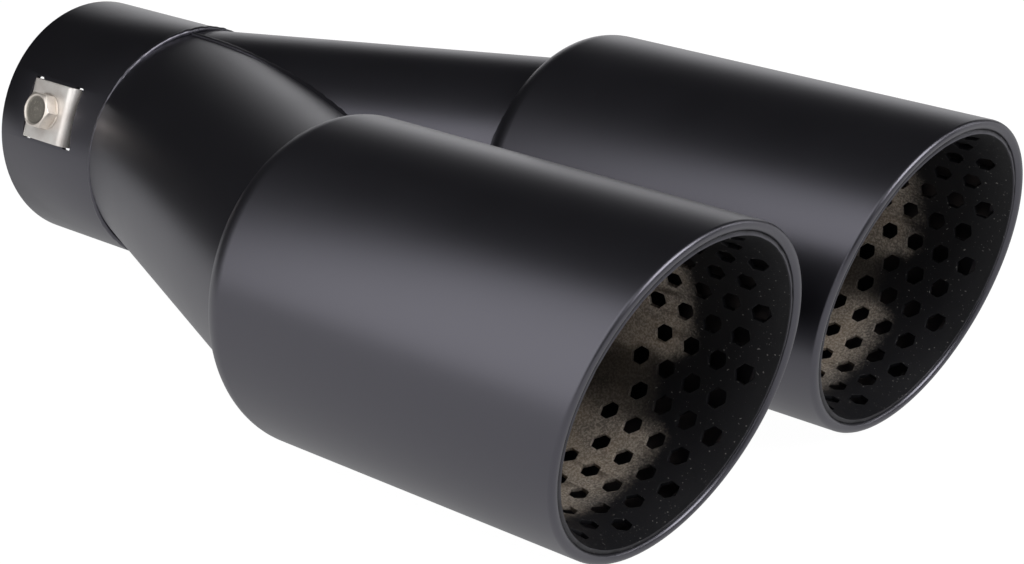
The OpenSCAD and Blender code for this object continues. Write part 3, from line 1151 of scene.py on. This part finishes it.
floor_finish = new_finish("pale_floor")
camera_ray = floor_finish.node("LightPath", output="Is Camera Ray")
glossy_ray = floor_finish.node("LightPath", output="Is Glossy Ray")
through = floor_finish.node("LightPath", output="Is Transmission Ray")
seen = (camera_ray + glossy_ray + through).clamped()
glow_level = SEEN_GLOW - (SEEN_GLOW - REFLECTED_GLOW) * glossy_ray
matt = floor_finish.node("BsdfDiffuse", None, {"Color": PALE})
glow = floor_finish.node("Emission", None, {"Color": WHITE, "Strength": glow_level})
pale_floor = floor_finish.finished(
    floor_finish.node("MixShader", None, {0: seen * GLOW_SHARE, 1: matt, 2: glow}))

clear()
bpy.ops.mesh.primitive_plane_add(size=6, location=(2.5, 0, FLOOR_Z * MM))
floor = named(settle(bpy.context.object), "floor")
dress(pale_floor, floor)
floor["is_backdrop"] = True
print("floor at", round(FLOOR_Z, 2), "mm")

# %% [markdown]
# The world is drawn from the direction of each ray. The camera sees white. A reflection sees a white
# backdrop behind the object, as wide as a roll of paper, and near darkness elsewhere. Plain light from
# the world is even.

# %% World
BACKDROP = 1.2
DARK_ROOM = 0.01
EVEN_LIGHT = 0.42

sky = Finish(bpy.data.worlds.new("studio"))
direction = sky.node("TexCoord", output="Generated")
camera_ray = sky.node("LightPath", output="Is Camera Ray")
glossy_ray = sky.node("LightPath", output="Is Glossy Ray")
east, north, height = sky.axes(direction)
behind = (north * 0.85 - east * 0.53).between(0.84, 0.97)
backdrop = behind * (1 - height.between(0.1, 0.42))
reflected = glossy_ray * (DARK_ROOM + BACKDROP * backdrop)
level = camera_ray + (1 - camera_ray) * (reflected + (1 - glossy_ray) * EVEN_LIGHT)
bpy.context.scene.world = sky.finished(
    sky.node("Background", None, {"Color": WHITE, "Strength": level}), "World")
print("world nodes:", len(sky.tree.nodes))

# %% [markdown]
# Three soft lights stand where the highlights of the real object come from. The side box gives the broad
# light band along each outlet, the one in front shines into the mouths, and the thin strip on the far
# side draws a bright edge on the lips. The lights themselves are hidden from the camera.

# %% Soft lights
def softbox(name, place, towards, width, height, radiance):
    """A rectangular soft light at a place, facing a point, both in metres."""
    data = bpy.data.lights.new(name, "AREA")
    data.shape = "RECTANGLE"
    data.size = width
    data.size_y = height
    data.energy = radiance * math.pi * width * height
    o = bpy.data.objects.new(name, data)
    bpy.context.scene.collection.objects.link(o)
    o.matrix_world = facing(Vector(place), Vector(towards))
    o.visible_camera = False
    return o


softbox("side_softbox", (0.11, -0.36, 0.38), (0.11, 0.0, 0.38), 0.64, 0.74, 1.42)
softbox("mouth_light", (1.25, 0.15, 1.05), (0.27, 0.0, 0.0), 1.0, 1.0, 5.8)
softbox("edge_strip", (0.8, 0.98, 0.46), (0.2, 0.0, 0.0), 0.15, 0.9, 4.0)
bpy.context.scene.view_settings.view_transform = "Standard"
print("lights:", sorted(light.name for light in bpy.data.lights if light.users))

# %% Close
VISUAL_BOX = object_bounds()
for label, box in (("CAD", CAD_BOX), ("visual", VISUAL_BOX)):
    print(label, "box:", [[round(v, 5) for v in corner] for corner in box])
